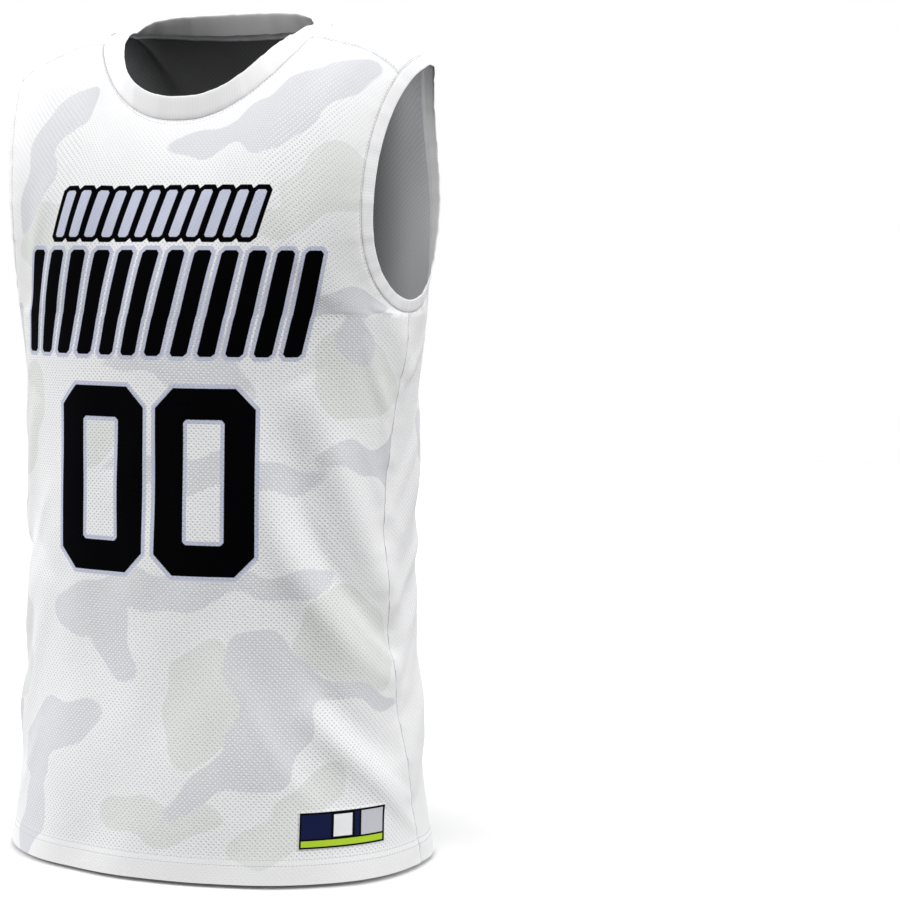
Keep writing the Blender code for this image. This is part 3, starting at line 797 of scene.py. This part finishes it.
def label_wall(name, face, normals, pattern, finish):
    """The hem label, from the points of the front's face that it covers, moved out."""
    across = np.linspace(0, LABEL_WIDTH, LABEL_COLUMNS + 1)
    up = np.linspace(0, LABEL_HEIGHT, LABEL_ROWS + 1)
    lines = (LABEL_TOP_Z - LABEL_HEIGHT + up - HEM_Z) / (UNDERARM_Z - HEM_Z) * BODY_ROWS
    points = []
    for line in lines:
        row, share = int(line), line % 1
        between = [data[row] * (1 - share) + data[row + 1] * share for data in (pattern, face, normals)]
        along = between[0][:, 0]
        points.append(read_off(np.concatenate(between[1:], axis=1), along, LABEL_START + across))
    points = np.array(points)
    face, normals = points[:, :, :3], unit(points[:, :, 3:])
    maps = {"pattern": np.stack(np.meshgrid(across, up), axis=2)}
    inner = face + normals * LABEL_OFF_CLOTH
    return cloth_wall(name, inner, inner + normals * LABEL_WALL, maps, [finish])


def running(ring):
    """The direction that a closed line of points runs in, at each of them."""
    return unit(np.roll(ring, -1, axis=0) - np.roll(ring, 1, axis=0))


def band_wall(name, seam, normals, width, lean, finish):
    """A band standing on a closed seam line, leaning from the cloth's slope, with a rounded free edge."""
    normals = settled(normals, RING_SETTLING, closed=True)
    run = running(seam)
    rise = settled(unit(unit(np.cross(normals, run)) + lean), RING_SETTLING, closed=True)
    out = unit(np.cross(run, rise))
    inner, outer = [], []
    for share, near, far in BAND_PROFILE:
        line = seam + rise * width * share
        turned = min(share / BAND_ROOT, 1)
        thick = unit(normals * (1 - turned) + out * turned)
        inner.append(line + thick * BAND_WALL * near)
        outer.append(line + thick * BAND_WALL * far)
    along = run_along(np.concatenate([seam, seam[:1]]))
    shares = np.array([row[0] for row in BAND_PROFILE]) * width
    pattern = np.stack(np.meshgrid(along, shares, indexing="ij"), axis=2)
    inner, outer = np.stack(inner, axis=1), np.stack(outer, axis=1)
    return cloth_wall(name, inner, outer, {"pattern": pattern}, [finish], ring=True)


def neck_ring(front, back):
    """The neck seam as one ring, anticlockwise from above, with the normals at its points."""
    span = slice(SHOULDER_COLUMNS, COLUMNS - SHOULDER_COLUMNS + 1)
    ahead = [sheet[-1, span] for sheet in front]
    behind = [sheet[-1, span][1:-1] for sheet in back]
    return [np.concatenate(pair) for pair in zip(ahead, behind)]


def neck_lean(ring):
    """The neck band stands up at the front and the back, and lies down over the shoulders."""
    y = ring[:, 1:2] - RIDGE_BACK
    centre = (y / np.where(y < 0, NECK_FRONT, NECK_BACK)) ** 2
    lift = NECK_LIFT_SIDES + (np.where(y < 0, NECK_LIFT_FRONT, NECK_LIFT_BACK) - NECK_LIFT_SIDES) * centre
    return np.array([0, 0, 1]) * lift / (1 - lift)


def armhole_lean(ring, side):
    """The binding bends into its opening at the front and the top, and away from the back."""
    run = running(ring)
    inwards = ring.mean(axis=0) - ring
    inwards = unit(inwards - run * (inwards * run).sum(axis=1, keepdims=True))
    behind = np.clip((ring[:, 1:2] - RIDGE_BACK) / ARMHOLE_BACK + ARMHOLE_TURN_START, 0, 1)
    return inwards * ARMHOLE_TURN_IN * (1 - behind) + np.array([side, 0, 0]) * ARMHOLE_TURN_OUT * behind


def armhole_ring(front, back, side):
    """The armhole seam on one side as one ring, up the front and down the back."""
    here, there = (-1, 0) if side == LEFT else (0, -1)
    ahead = [sheet[BODY_ROWS:, here] for sheet in front]
    behind = [sheet[BODY_ROWS + 1 : -1, there][::-1] for sheet in back]
    seam, normals = [np.concatenate(pair) for pair in zip(ahead, behind)]
    return (seam[::-1], normals[::-1]) if side == LEFT else (seam, normals)


def line_inside(sheet, normals, distance):
    """The line on a sheet at a distance from its first line of points, and the normals along it."""
    both = np.concatenate([sheet, normals], axis=2)[:EDGE_LINES].swapaxes(0, 1)
    runs = run_along(both[:, :, :3], axis=1)
    return np.concatenate([read_off(column, run, [distance]) for column, run in zip(both, runs)])


def from_top(panel, span):
    """A panel's face and normals with their lines from the top edge down, in a span of its columns."""
    return [sheet[::-1, span] for sheet in panel]


def from_armhole(panel, column):
    """A panel's face and normals above the underarm, with their lines from one armhole inwards."""
    step = -1 if column else 1
    return [sheet[BODY_ROWS:, ::step].swapaxes(0, 1) for sheet in panel]


def stitch_lines(front, back):
    """The lines that each piece's stitches follow, with the normals along them."""
    neck = slice(SHOULDER_COLUMNS, COLUMNS - SHOULDER_COLUMNS + 1)
    shoulders = slice(0, SHOULDER_COLUMNS + 1), slice(-SHOULDER_COLUMNS - 1, None)
    lines = {"neck_stitches": [], "shoulder_stitches": [], "armhole_stitches": [], "hem_stitches": []}
    for distance in NECK_STITCHES:
        ahead, behind = [line_inside(*from_top(panel, neck), distance) for panel in (front, back)]
        lines["neck_stitches"].append(np.concatenate([ahead, behind, ahead[:1]]))
    for distance in SHOULDER_STITCHES:
        for span in shoulders:
            lines["shoulder_stitches"].append(line_inside(*from_top(back, span), distance))
    for distance in ARMHOLE_STITCHES:
        for column in (0, -1):
            ahead = line_inside(*from_armhole(front, column), distance)
            behind = line_inside(*from_armhole(back, -1 - column), distance)
            lines["armhole_stitches"].append(np.concatenate([ahead, behind[::-1]]))
    for distance in HEM_STITCHES:
        ahead, behind = [line_inside(*panel, distance) for panel in (front, back)]
        lines["hem_stitches"].append(np.concatenate([ahead, behind, ahead[:1]]))
    return lines


def stitch_shape():
    """One stitch, lying along X, with its ends rounded off."""
    bpy.ops.object.select_all(action="DESELECT")
    bpy.ops.mesh.primitive_cylinder_add(
        vertices=STITCH_SIDES, radius=STITCH_RADIUS, depth=STITCH_LENGTH, rotation=(0, math.pi / 2, 0)
    )
    bpy.ops.object.transform_apply(location=False, rotation=True, scale=False)
    bpy.ops.object.mode_set(mode="EDIT")
    bpy.ops.mesh.select_mode(type="EDGE")
    bpy.ops.mesh.select_all(action="DESELECT")
    bpy.ops.mesh.edges_select_sharp(sharpness=math.radians(STITCH_EDGE))
    bpy.ops.mesh.bevel(offset=STITCH_RADIUS * STITCH_BEVEL, segments=1)
    bpy.ops.object.mode_set(mode="OBJECT")
    shape = bpy.context.object
    corners = np.array([v.co for v in shape.data.vertices])
    faces = [list(p.vertices) for p in shape.data.polygons]
    bpy.data.objects.remove(shape)
    return corners, faces


def stitch_rows(name, lines, finish):
    """Rows of stitches along lines of points with their normals, joined into one piece."""
    corners, faces = stitch_shape()
    points = []
    for line in lines:
        run = run_along(line[:, :3])
        count = int(run[-1] / STITCH_PITCH)
        places = (np.arange(count) + 0.5) * run[-1] / count
        shifts = (-STITCH_LENGTH / 2, 0, STITCH_LENGTH / 2)
        tail, middle, tip = [read_off(line, run, places + shift) for shift in shifts]
        ahead = unit(tip[:, :3] - tail[:, :3])
        side = unit(np.cross(middle[:, 3:], ahead))
        out = np.cross(ahead, side)
        axes = np.stack([ahead, side, out], axis=1)
        points.append(corners @ axes + (middle[:, :3] - out * STITCH_SINK)[:, None])
    points = np.concatenate(points)
    starts = np.arange(len(points)) * len(corners)
    faces = [[start + corner for corner in face] for start in starts for face in faces]
    mesh = bpy.data.meshes.new(name)
    mesh.from_pydata(points.reshape(-1, 3), [], faces)
    mesh.materials.append(finish)
    mesh.shade_smooth()
    return in_scene(name, mesh)


def linear(code):
    """A colour's sRGB hex code as linear red, green, blue and alpha."""
    shares = [int(code[i : i + 2], 16) / 255 for i in (1, 3, 5)]
    return [c / 12.92 if c <= 0.04045 else ((c + 0.055) / 1.055) ** 2.4 for c in shares] + [1]


def add_node(tree, kind, inputs=(), output=None, **settings):
    """Adds a node with its settings and links, and returns the output asked for, or else its first in use.

    Inputs are values or other nodes' outputs, in the order of the sockets, or by a socket's name or number.
    """
    node = tree.nodes.new("ShaderNode" + kind)
    for name, value in settings.items():
        setattr(node, name, value)
    for socket, value in inputs.items() if isinstance(inputs, dict) else enumerate(inputs):
        if isinstance(value, bpy.types.NodeSocket):
            tree.links.new(value, node.inputs[socket])
        else:
            node.inputs[socket].default_value = value
    return node.outputs[output] if output else next(out for out in node.outputs if out.enabled)


def new_finish(name, roughness):
    """A material with its node tree and its shader, matt as cloth is."""
    material = bpy.data.materials.new(name)
    material.use_nodes = True
    shader = material.node_tree.nodes["Principled BSDF"]
    shader.inputs["Roughness"].default_value = roughness
    shader.inputs["Specular IOR Level"].default_value = CLOTH_SPECULAR
    return material, material.node_tree, shader


def dress_shader(tree, shader, colour, height, depth, strength):
    """Gives a shader its colour and the relief of its knit or weave."""
    relief = add_node(tree, "Bump", {"Height": height, "Distance": depth, "Strength": strength})
    tree.links.new(relief, shader.inputs["Normal"])
    tree.links.new(colour, shader.inputs["Base Color"])


def mix_tones(tree, share, first, second):
    """The first colour where the share is 0, and the second where it is 1."""
    return add_node(tree, "Mix", {0: share, 6: first, 7: second}, data_type="RGBA")


def lay_tone(tree, under, tone, distance, edge, softness):
    """Lays a tone over what is under it, wherever a distance is below an edge."""
    cover = add_node(tree, "MapRange", (distance, edge + softness, edge - softness))
    return mix_tones(tree, cover, under, tone)


def add_loops(tree, pattern):
    """The uneven surface of the knit's loops."""
    return add_node(tree, "TexNoise", {"Vector": pattern, "Scale": 1 / LOOP_SIZE, "Detail": 2.0})


def add_eyelets(tree, pattern):
    """1 in the middle of each small knitted hole and 0 in the cloth between, on a staggered lattice."""
    scaled = add_node(tree, "VectorMath", {0: pattern, "Scale": 1 / EYELET_PITCH}, operation="SCALE")
    distances = []
    for start in (0.0, 0.5):
        moved = add_node(tree, "VectorMath", (scaled, (start, start, 0)), operation="ADD")
        cell = add_node(tree, "VectorMath", (moved,), operation="FRACTION")
        distances.append(add_node(tree, "VectorMath", (cell, (0.5, 0.5, 0)), operation="DISTANCE"))
    nearest = add_node(tree, "Math", distances, operation="MINIMUM")
    radius = EYELET_RADIUS / EYELET_PITCH
    edges = radius * (1 + EYELET_SOFTNESS), radius * (1 - EYELET_SOFTNESS)
    return add_node(tree, "MapRange", (nearest, *edges), interpolation_type="SMOOTHSTEP")


def add_blocks(tree, across, up, row):
    """How far outside a row of printed blocks a point is, in metres. Their corners are cut off.

    The blocks lean by the row's slant, and its hollow, where it has one, is a smaller block taken out.
    """
    centre_u, centre_v, half_width, half_height, corner, spacing, count, slant, hollow = row
    up = add_node(tree, "Math", (up, centre_v), operation="SUBTRACT")
    over = add_node(tree, "Math", (up, -slant, across), operation="MULTIPLY_ADD")
    over = add_node(tree, "Math", (over, centre_u - spacing * (count - 1) / 2), operation="SUBTRACT")
    place = add_node(tree, "Math", (over, spacing), operation="DIVIDE")
    place = add_node(tree, "Math", (place,), operation="ROUND")
    place = add_node(tree, "Clamp", (place, 0, count - 1))
    over = add_node(tree, "Math", (place, -spacing, over), operation="MULTIPLY_ADD")
    over = add_node(tree, "Math", (over,), operation="ABSOLUTE")
    up = add_node(tree, "Math", (up,), operation="ABSOLUTE")
    both = add_node(tree, "Math", (over, up), operation="ADD")

    def outside(width, height, cut):
        """How far outside a block of these half sizes a point is, with its corners cut off."""
        edges = ((over, width), (up, height), (both, width + height - cut))
        *square, diagonal = [add_node(tree, "Math", pair, operation="SUBTRACT") for pair in edges]
        square = add_node(tree, "Math", square, operation="MAXIMUM")
        diagonal = add_node(tree, "Math", (diagonal, math.sqrt(0.5)), operation="MULTIPLY")
        return add_node(tree, "Math", (square, diagonal), operation="MAXIMUM")

    solid = outside(half_width, half_height, corner)
    if not hollow:
        return solid
    inside = outside(half_width - hollow, half_height - hollow, COUNTER_CORNER)
    inside = add_node(tree, "Math", (inside, -1), operation="MULTIPLY")
    return add_node(tree, "Math", (solid, inside), operation="MAXIMUM")


def mesh_knit(name, prints):
    """Polyester mesh knit, dye-printed: matt and dense, with small eyelets, pale in the grey and darkened
    with painted shade in the white and the sage.
    """
    material, tree, shader = new_finish(name, roughness=0.75)
    pattern = add_node(tree, "UVMap", uv_map="pattern")
    place = add_node(tree, "SeparateXYZ", (add_node(tree, "UVMap", uv_map="print"),)).node.outputs
    from_seam = add_node(tree, "Attribute", output="Fac", attribute_name="from_seam")
    eyelets = add_eyelets(tree, pattern)
    above_hem = (place["Y"], HEM_DEPTH - HEM_SOFTNESS, HEM_DEPTH + HEM_SOFTNESS, HEM_OPENNESS)
    for opening in (above_hem, (from_seam, 0.0, PULLED_KNIT, SEAM_OPENNESS)):
        open_knit = add_node(tree, "MapRange", opening)
        eyelets = add_node(tree, "Math", (eyelets, open_knit), operation="MULTIPLY")
    # The eyelets on the white and the sage are darkened with painted shade of their holes
    colour = mix_tones(tree, eyelets, linear(WHITE), linear(WHITE_EYELET_PAINTED_SHADE))
    for layer, tone, hole in (("camo_sage", CAMO_SAGE, SAGE_EYELET_PAINTED_SHADE), ("camo_grey", CAMO_GREY, GREY_EYELET)):
        dye_and_eyelets = mix_tones(tree, eyelets, linear(tone), linear(hole))
        field = add_node(tree, "Attribute", output="Fac", attribute_name=layer)
        colour = lay_tone(tree, colour, dye_and_eyelets, field, 0, CAMO_SOFTNESS)
    for row, layers in prints:
        distance = add_blocks(tree, place["X"], place["Y"], row)
        for edge, tone in layers:
            colour = lay_tone(tree, colour, linear(tone), distance, edge, PRINT_SOFTNESS)
    # Painted shade: a thin darker line along each seam
    colour = lay_tone(tree, colour, linear(PAINTED_SEAM_SHADE), from_seam, PAINTED_SEAM_WIDTH, PAINTED_SEAM_WIDTH / 2)
    relief = (eyelets, -EYELET_DEPTH, add_loops(tree, pattern))
    relief = add_node(tree, "Math", relief, operation="MULTIPLY_ADD")
    dress_shader(tree, shader, colour, relief, depth=0.0004, strength=0.6)
    return material


def inner_knit(name):
    """The knit's unprinted inner face: soft grey, with painted shade darker down the middle, and overlocked
    seam allowances.
    """
    material, tree, shader = new_finish(name, roughness=0.85)
    pattern = add_node(tree, "UVMap", uv_map="pattern")
    eyelets = add_eyelets(tree, pattern)
    across = add_node(tree, "SeparateXYZ", (add_node(tree, "UVMap", uv_map="print"),), output="X")
    beside = add_node(tree, "Math", (across,), operation="ABSOLUTE")
    # Painted shade: the tone darkens towards the middle of the inner face
    painted_shade = (beside, PAINTED_SHADE_START, PAINTED_SHADE_END, PAINTED_MIDDLE_SHADE, 1.0)
    painted_shade = add_node(tree, "MapRange", painted_shade, interpolation_type="SMOOTHSTEP")
    colour = mix_tones(tree, eyelets, linear(INNER), linear(INNER_EYELET))
    colour = add_node(tree, "VectorMath", {0: colour, "Scale": painted_shade}, operation="SCALE")
    from_seam = add_node(tree, "Attribute", output="Fac", attribute_name="from_seam")
    for edge, tone in ALLOWANCE_LINES:
        colour = lay_tone(tree, colour, linear(tone), from_seam, edge, ALLOWANCE_SOFTNESS)
    relief = (eyelets, -INNER_EYELET_DEPTH, add_loops(tree, pattern))
    relief = add_node(tree, "Math", relief, operation="MULTIPLY_ADD")
    dress_shader(tree, shader, colour, relief, depth=0.0003, strength=0.35)
    return material


def band_knit(name):
    """Plain unprinted knit of the bands: matt, with faint ribs side by side across it, as its wales are, with
    painted shade in their grooves.
    """
    material, tree, shader = new_finish(name, roughness=0.8)
    pattern = add_node(tree, "UVMap", uv_map="pattern")
    waves = {"Vector": pattern, "Scale": 1 / RIB_PITCH / WAVES_IN_A_UNIT, "Distortion": 1.5}
    ribs = add_node(tree, "TexWave", waves | {"Detail Scale": 2.0}, output="Fac", bands_direction="X")
    relief = add_node(tree, "Math", (ribs, add_loops(tree, pattern)), operation="ADD")
    # Painted shade: darker where the relief is low, lighter where it is high
    painted_shade = add_node(tree, "MapRange", (relief, 0.0, 2.0, *RIB_PAINTED_SHADES))
    colour = add_node(tree, "VectorMath", {0: linear(WHITE)[:3], "Scale": painted_shade}, operation="SCALE")
    dress_shader(tree, shader, colour, relief, depth=0.0002, strength=0.25)
    return material


def spun_thread(name):
    """Spun polyester thread, white, greyed as painted shade of its wells, with painted light and shade on its
    twisted plies.
    """
    material, tree, shader = new_finish(name, roughness=0.6)
    place = add_node(tree, "TexCoord", output="Object")
    plies = add_node(tree, "TexNoise", {"Vector": place, "Scale": 1 / STITCH_RADIUS, "Detail": 1.0})
    # Painted light and shade: lighter where the plies stand higher
    painted_shade = add_node(tree, "MapRange", (plies, *PLY_RANGE, *PLY_PAINTED_SHADES))
    colour = add_node(tree, "VectorMath", {0: linear(THREAD_IN_PAINTED_SHADE)[:3], "Scale": painted_shade}, operation="SCALE")
    dress_shader(tree, shader, colour, plies, depth=STITCH_RADIUS / 2, strength=0.5)
    return material


def printed_label(name):
    """A woven label, printed in plain fields of colour: smoother than the knit, its weave just showing."""
    material, tree, shader = new_finish(name, roughness=0.55)
    pattern = add_node(tree, "UVMap", uv_map="pattern")
    place = add_node(tree, "SeparateXYZ", (pattern,)).node.outputs
    colour = linear(LABEL_EDGE)
    for left, bottom, right, top, tone in LABEL_FIELDS:
        half_width, half_height = (right - left) / 2, (top - bottom) / 2
        row = (left + half_width, bottom + half_height, half_width, half_height, 0.0, LABEL_WIDTH, 1, 0.0, 0)
        distance = add_blocks(tree, place["X"], place["Y"], row)
        colour = lay_tone(tree, colour, linear(tone), distance, 0, PRINT_SOFTNESS)
    threads = add_node(tree, "VectorMath", {0: pattern, "Scale": math.pi / LABEL_THREAD}, operation="SCALE")
    threads = add_node(tree, "VectorMath", (threads,), operation="SINE")
    weave = add_node(tree, "VectorMath", (threads, (1, 1, 0)), output="Value", operation="DOT_PRODUCT")
    dress_shader(tree, shader, colour, weave, depth=0.0001, strength=0.5)
    return material


def floor_paint(name):
    """Matt white floor: it takes soft shadows without gloss, and glows faintly, as pale as the backdrop."""
    material, _, shader = new_finish(name, roughness=0.9)
    shader.inputs["Base Color"].default_value = linear(FLOOR)
    shader.inputs["Emission Color"].default_value = linear(FLOOR)
    shader.inputs["Emission Strength"].default_value = FLOOR_GLOW
    return material


def turned_about(rows):
    """The front's blotches turned about for the back, where they fall in other places."""
    start_u, start_v = BACK_CAMO_START
    return [(start_u - BACK_CAMO_SQUEEZE * u, start_v - v, *sizes, -turned) for u, v, *sizes, turned in rows]


def wave_shift(rows, u, v):
    """How far the waves of an uneven edge move it at u, v."""
    return sum(height * np.sin(u * in_u + v * in_v + phase) for height, in_u, in_v, phase in rows)


def blotch_field(rows, pattern):
    """How far outside the blotches each point of the cloth is, in metres. Those that meet flow together."""
    u, v = pattern[:, :, 0], pattern[:, :, 1]
    wavy_u = u + wave_shift(EDGE_WAVES_ACROSS, u, v)
    wavy_v = v + wave_shift(EDGE_WAVES_UP, u, v)
    nearness = np.zeros(u.shape)
    for centre_u, centre_v, half_length, half_width, turned in rows:
        turn = math.radians(turned)
        along = (wavy_u - centre_u) * math.cos(turn) + (wavy_v - centre_v) * math.sin(turn)
        beside = (wavy_v - centre_v) * math.cos(turn) - (wavy_u - centre_u) * math.sin(turn)
        apart = (np.hypot(along / half_length, beside / half_width) - 1) * half_width
        nearness += np.exp(-apart / BLOTCH_FLOW)
    return -BLOTCH_FLOW * np.log(np.maximum(nearness, 1e-9))


def keep_field(obj, name, field):
    """Keeps a number for each point of a panel on its piece, both faces alike."""
    attribute = obj.data.attributes.new(name, "FLOAT", "POINT")
    attribute.data.foreach_set("value", np.concatenate([field.ravel()] * 2).astype(np.float32))


def paint_panel(obj, grid, seams, camo):
    """Keeps the camouflage's fields and the distance from the nearest seam on a panel's points."""
    for name, rows in camo.items():
        keep_field(obj, name, blotch_field(rows, pattern_of(grid)))
    keep_field(obj, "from_seam", np.minimum.reduce([from_line(grid, seam)[0] for seam in seams]))


def put_in(name, data, place, direction):
    """A sun or a camera in the scene at its place, looking in a direction."""
    obj = in_scene(name, data)
    obj.location = place
    obj.rotation_euler = direction.to_track_quat("-Z", "Y").to_euler()
    return obj


def add_sun(name, place, power, angle):
    """A sun that shines from its place towards the origin."""
    sun = bpy.data.lights.new(name, "SUN")
    sun.energy = power
    sun.angle = angle
    put_in(name, sun, place, Vector() - Vector(place))


# ---------------------------------------------------------------------------------------------------------
# The jersey

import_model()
bpy.ops.object.select_all(action="DESELECT")
for start_object in [o for o in bpy.data.objects if "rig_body" not in o and not o.name.startswith("body:")]:
    bpy.data.objects.remove(start_object)

# Grids of the two panels, joined at their seams
front, front_out, front_print = panel_grid(back=False)
back, back_out, back_print = panel_grid(back=True)
join_seams(front, back, front_out, back_out)
seams = seam_lines(front, back)
front = draw_in(front, front_out, seams)
back = draw_in(back, back_out, seams)

inner_face = inner_knit("mesh knit, inner face")
front_knit = mesh_knit("printed mesh knit, front", FRONT_PRINTS)
back_knit = mesh_knit("printed mesh knit, back", BACK_PRINTS)
rib = band_knit("band knit")
thread = spun_thread("spun polyester thread")
label_print = printed_label("printed woven label")

front_cloth = panel_wall("front_cloth", front, front_out, front_print, [front_knit, inner_face])
back_cloth = panel_wall("back_cloth", back, back_out, back_print, [back_knit, inner_face])
front_camo = {"camo_grey": FRONT_GREY, "camo_sage": FRONT_SAGE}
paint_panel(front_cloth, front, seams, front_camo)
paint_panel(back_cloth, back, seams, {name: turned_about(rows) for name, rows in front_camo.items()})

ring, ring_out = neck_ring((front, front_out), (back, back_out))
neck_rib = band_wall("neck_rib", ring, ring_out, NECK_BAND_WIDTH, neck_lean(ring), rib)
bindings = []
for side, name in ((LEFT, "left_binding"), (RIGHT, "right_binding")):
    ring, ring_out = armhole_ring((front, front_out), (back, back_out), side)
    bindings.append(band_wall(name, ring, ring_out, ARMHOLE_BAND_WIDTH, armhole_lean(ring, side), rib))
front_face, back_face = face_of(front, front_out), face_of(back, back_out)
label = label_wall("hem_label_print", front_face, front_out, pattern_of(front), label_print)

pieces = [
    (front_cloth, "front_panel", "mesh_knit"),
    (back_cloth, "back_panel", "mesh_knit"),
    (neck_rib, "neck_band", "rib_knit"),
    (bindings[0], "left_armhole_band", "rib_knit"),
    (bindings[1], "right_armhole_band", "rib_knit"),
    (label, "hem_label", "printed_label"),
]
for name, lines in stitch_lines((front_face, front_out), (back_face, back_out)).items():
    pieces.append((stitch_rows(name, lines, thread), None, "mesh_knit"))
for piece, node, slot in pieces:
    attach(piece, BODY)
    if node:
        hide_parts(node)

# ---------------------------------------------------------------------------------------------------------
# The studio

bpy.ops.mesh.primitive_plane_add(size=FLOOR_SIZE, location=(0, 0, HEM_Z - FLOOR_GAP))
floor = bpy.context.object
floor.name = "floor"
floor.data.materials.append(floor_paint("matt white floor"))
floor.visible_diffuse = False  # neither the floor nor the world fills the shade of the folds

for sun in SUNS:
    add_sun(*sun)
world = bpy.data.worlds.new("studio")
bpy.context.scene.world = world
world.use_nodes = True
world.node_tree.nodes["Background"].inputs["Color"].default_value = (1, 1, 1, 1)
world.node_tree.nodes["Background"].inputs["Strength"].default_value = 1.0
world.cycles_visibility.diffuse = False
bpy.context.scene.view_settings.view_transform = "Standard"

camera = bpy.data.cameras.new("camera")
camera.lens = CAMERA_LENS
camera.sensor_width = CAMERA_SENSOR
bpy.context.scene.camera = put_in("camera", camera, CAMERA_PLACE, Vector(CAMERA_DIRECTION))
